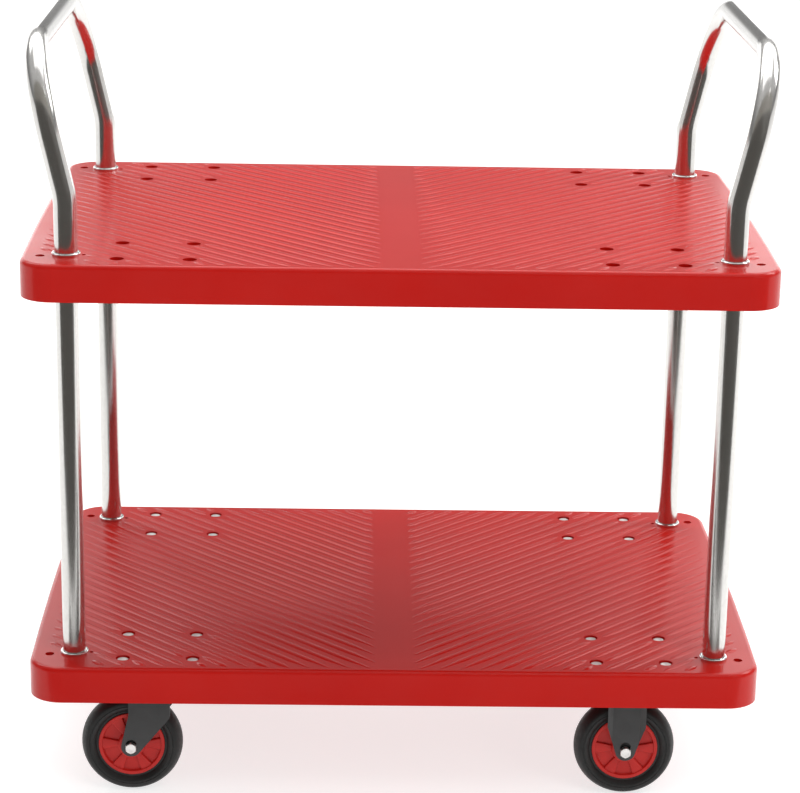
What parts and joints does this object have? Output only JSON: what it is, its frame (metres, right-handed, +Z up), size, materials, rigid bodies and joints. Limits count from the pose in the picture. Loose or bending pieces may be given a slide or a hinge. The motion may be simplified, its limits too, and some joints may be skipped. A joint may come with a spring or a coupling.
{
  "type": "two-deck platform truck",
  "caption": "Platform truck with moulded red upper and lower decks on steel posts, a bent-tube push handle at each end, swivel casters at one end and rigid casters at the other.",
  "frame": {"origin": "on the floor, under the middle of the decks", "axes": "+X along the decks from the swivel-caster end to the rigid-caster end, +Y across them from the front to the rear, +Z up"},
  "size_m": [0.9048, 0.605, 0.9528],
  "materials": {
    "deck_plastic": "glossy moulded polypropylene, red",
    "bright_tube": "bright polished tube",
    "collar_chrome": "chrome-plated trim ring",
    "zinc_steel": "bright zinc plate",
    "bearing_steel": "greased steel balls",
    "grey_paint": "satin dark grey powder coat",
    "black_plastic": "black nylon",
    "bush_plastic": "natural nylon",
    "hub_plastic": "red moulded plastic",
    "tyre_rubber": "matt black solid rubber"
  },
  "bodies": {
    "frame": {"lower_deck": "deck_plastic", "upper_deck": "deck_plastic", "post_front_left": "bright_tube", "post_front_right": "bright_tube", "post_rear_left": "bright_tube", "post_rear_right": "bright_tube", "left_handle": "bright_tube", "right_handle": "bright_tube", "lower_collars": "collar_chrome", "upper_collars": "collar_chrome", "lower_post_bolts": "zinc_steel", "lower_post_nuts": "zinc_steel", "upper_post_bolts": "zinc_steel", "upper_post_nuts": "zinc_steel", "handle_bolts": "zinc_steel", "handle_nuts": "zinc_steel", "caster_bolts": "zinc_steel", "caster_washers": "zinc_steel", "caster_nuts": "zinc_steel", "swivel_plate_front_left": "grey_paint", "kingpin_front_left": "zinc_steel", "dust_ring_front_left": "black_plastic", "rigid_bracket_front_right": "grey_paint", "swivel_plate_rear_left": "grey_paint", "kingpin_rear_left": "zinc_steel", "dust_ring_rear_left": "black_plastic", "rigid_bracket_rear_right": "grey_paint", "axle_bolt_front_right": "zinc_steel", "axle_nut_front_right": "zinc_steel", "axle_sleeve_front_right": "zinc_steel", "axle_spacers_front_right": "black_plastic", "axle_bolt_rear_right": "zinc_steel", "axle_nut_rear_right": "zinc_steel", "axle_sleeve_rear_right": "zinc_steel", "axle_spacers_rear_right": "black_plastic"},
    "swivel_front_left": {"swivel_fork_front_left": "grey_paint", "swivel_balls_front_left": "bearing_steel", "axle_bolt_front_left": "zinc_steel", "axle_nut_front_left": "zinc_steel", "axle_sleeve_front_left": "zinc_steel", "axle_spacers_front_left": "black_plastic"},
    "wheel_front_left": {"wheel_hub_front_left": "hub_plastic", "tyre_front_left": "tyre_rubber", "wheel_bush_front_left": "bush_plastic"},
    "wheel_front_right": {"wheel_hub_front_right": "hub_plastic", "tyre_front_right": "tyre_rubber", "wheel_bush_front_right": "bush_plastic"},
    "swivel_rear_left": {"swivel_fork_rear_left": "grey_paint", "swivel_balls_rear_left": "bearing_steel", "axle_bolt_rear_left": "zinc_steel", "axle_nut_rear_left": "zinc_steel", "axle_sleeve_rear_left": "zinc_steel", "axle_spacers_rear_left": "black_plastic"},
    "wheel_rear_left": {"wheel_hub_rear_left": "hub_plastic", "tyre_rear_left": "tyre_rubber", "wheel_bush_rear_left": "bush_plastic"},
    "wheel_rear_right": {"wheel_hub_rear_right": "hub_plastic", "tyre_rear_right": "tyre_rubber", "wheel_bush_rear_right": "bush_plastic"}
  },
  "joints": [
    {"name": "swivel_turn_front_left", "type": "hinge", "parent": "frame", "child": "swivel_front_left", "pos_m": [-0.2925, -0.226, 0.141], "axis": [0, 0, 1], "continuous": true},
    {"name": "wheel_roll_front_left", "type": "hinge", "parent": "swivel_front_left", "child": "wheel_front_left", "pos_m": [-0.3285, -0.226, 0.0635], "axis": [0, 1, 0], "continuous": true},
    {"name": "wheel_roll_front_right", "type": "hinge", "parent": "frame", "child": "wheel_front_right", "pos_m": [0.2925, -0.226, 0.0635], "axis": [0, 1, 0], "continuous": true},
    {"name": "swivel_turn_rear_left", "type": "hinge", "parent": "frame", "child": "swivel_rear_left", "pos_m": [-0.2925, 0.226, 0.141], "axis": [0, 0, 1], "continuous": true},
    {"name": "wheel_roll_rear_left", "type": "hinge", "parent": "swivel_rear_left", "child": "wheel_rear_left", "pos_m": [-0.3285, 0.226, 0.0635], "axis": [0, 1, 0], "continuous": true},
    {"name": "wheel_roll_rear_right", "type": "hinge", "parent": "frame", "child": "wheel_rear_right", "pos_m": [0.2925, 0.226, 0.0635], "axis": [0, 1, 0], "continuous": true}
  ]
}
